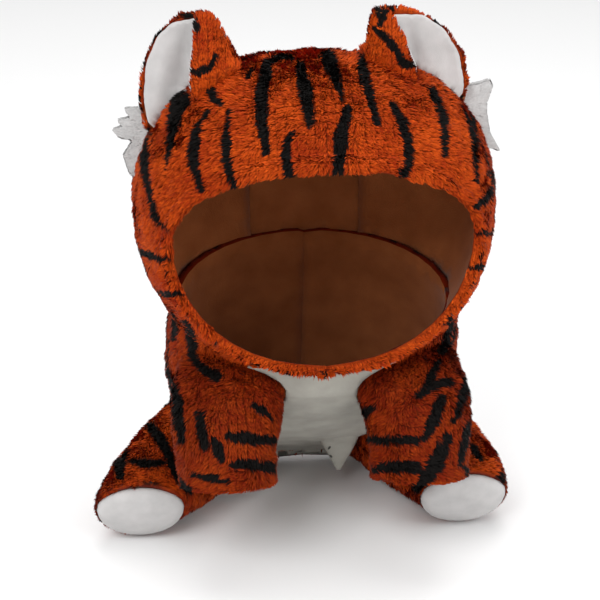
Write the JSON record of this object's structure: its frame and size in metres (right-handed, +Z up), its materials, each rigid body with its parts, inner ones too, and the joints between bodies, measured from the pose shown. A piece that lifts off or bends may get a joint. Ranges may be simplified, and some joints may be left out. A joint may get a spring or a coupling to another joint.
{
  "type": "toy dog tiger costume",
  "caption": "Hooded striped plush costume for a sitting toy dog, with ears, cheek tufts, open sleeves, closed hind feet and a white belly.",
  "frame": {"origin": "inner crown of the hood, where the wearer's head holds the costume up", "axes": "+Z up, +X to the viewer's right, the face opening looks towards -Y"},
  "size_m": [0.262, 0.1925, 0.333],
  "materials": {
    "tiger_fur": "striped plush pile, matte",
    "white_cloth": "smooth short-nap cloth, matte",
    "ear_cloth": "smooth short-nap cloth, matte",
    "white_pile": "long white pile, matte"
  },
  "bodies": {
    "root": {"hood_crown": "tiger_fur", "hood_left": "tiger_fur", "hood_right": "tiger_fur", "ear_back_left": "tiger_fur", "ear_back_right": "tiger_fur", "body_left": "tiger_fur", "body_right": "tiger_fur", "sleeve_left": "tiger_fur", "sleeve_right": "tiger_fur", "leg_left": "tiger_fur", "leg_right": "tiger_fur", "belly": "white_cloth", "sole_left": "white_cloth", "sole_right": "white_cloth", "ear_lining_left": "ear_cloth", "ear_lining_right": "ear_cloth", "tuft_left": "white_pile", "tuft_right": "white_pile"}
  },
  "joints": []
}
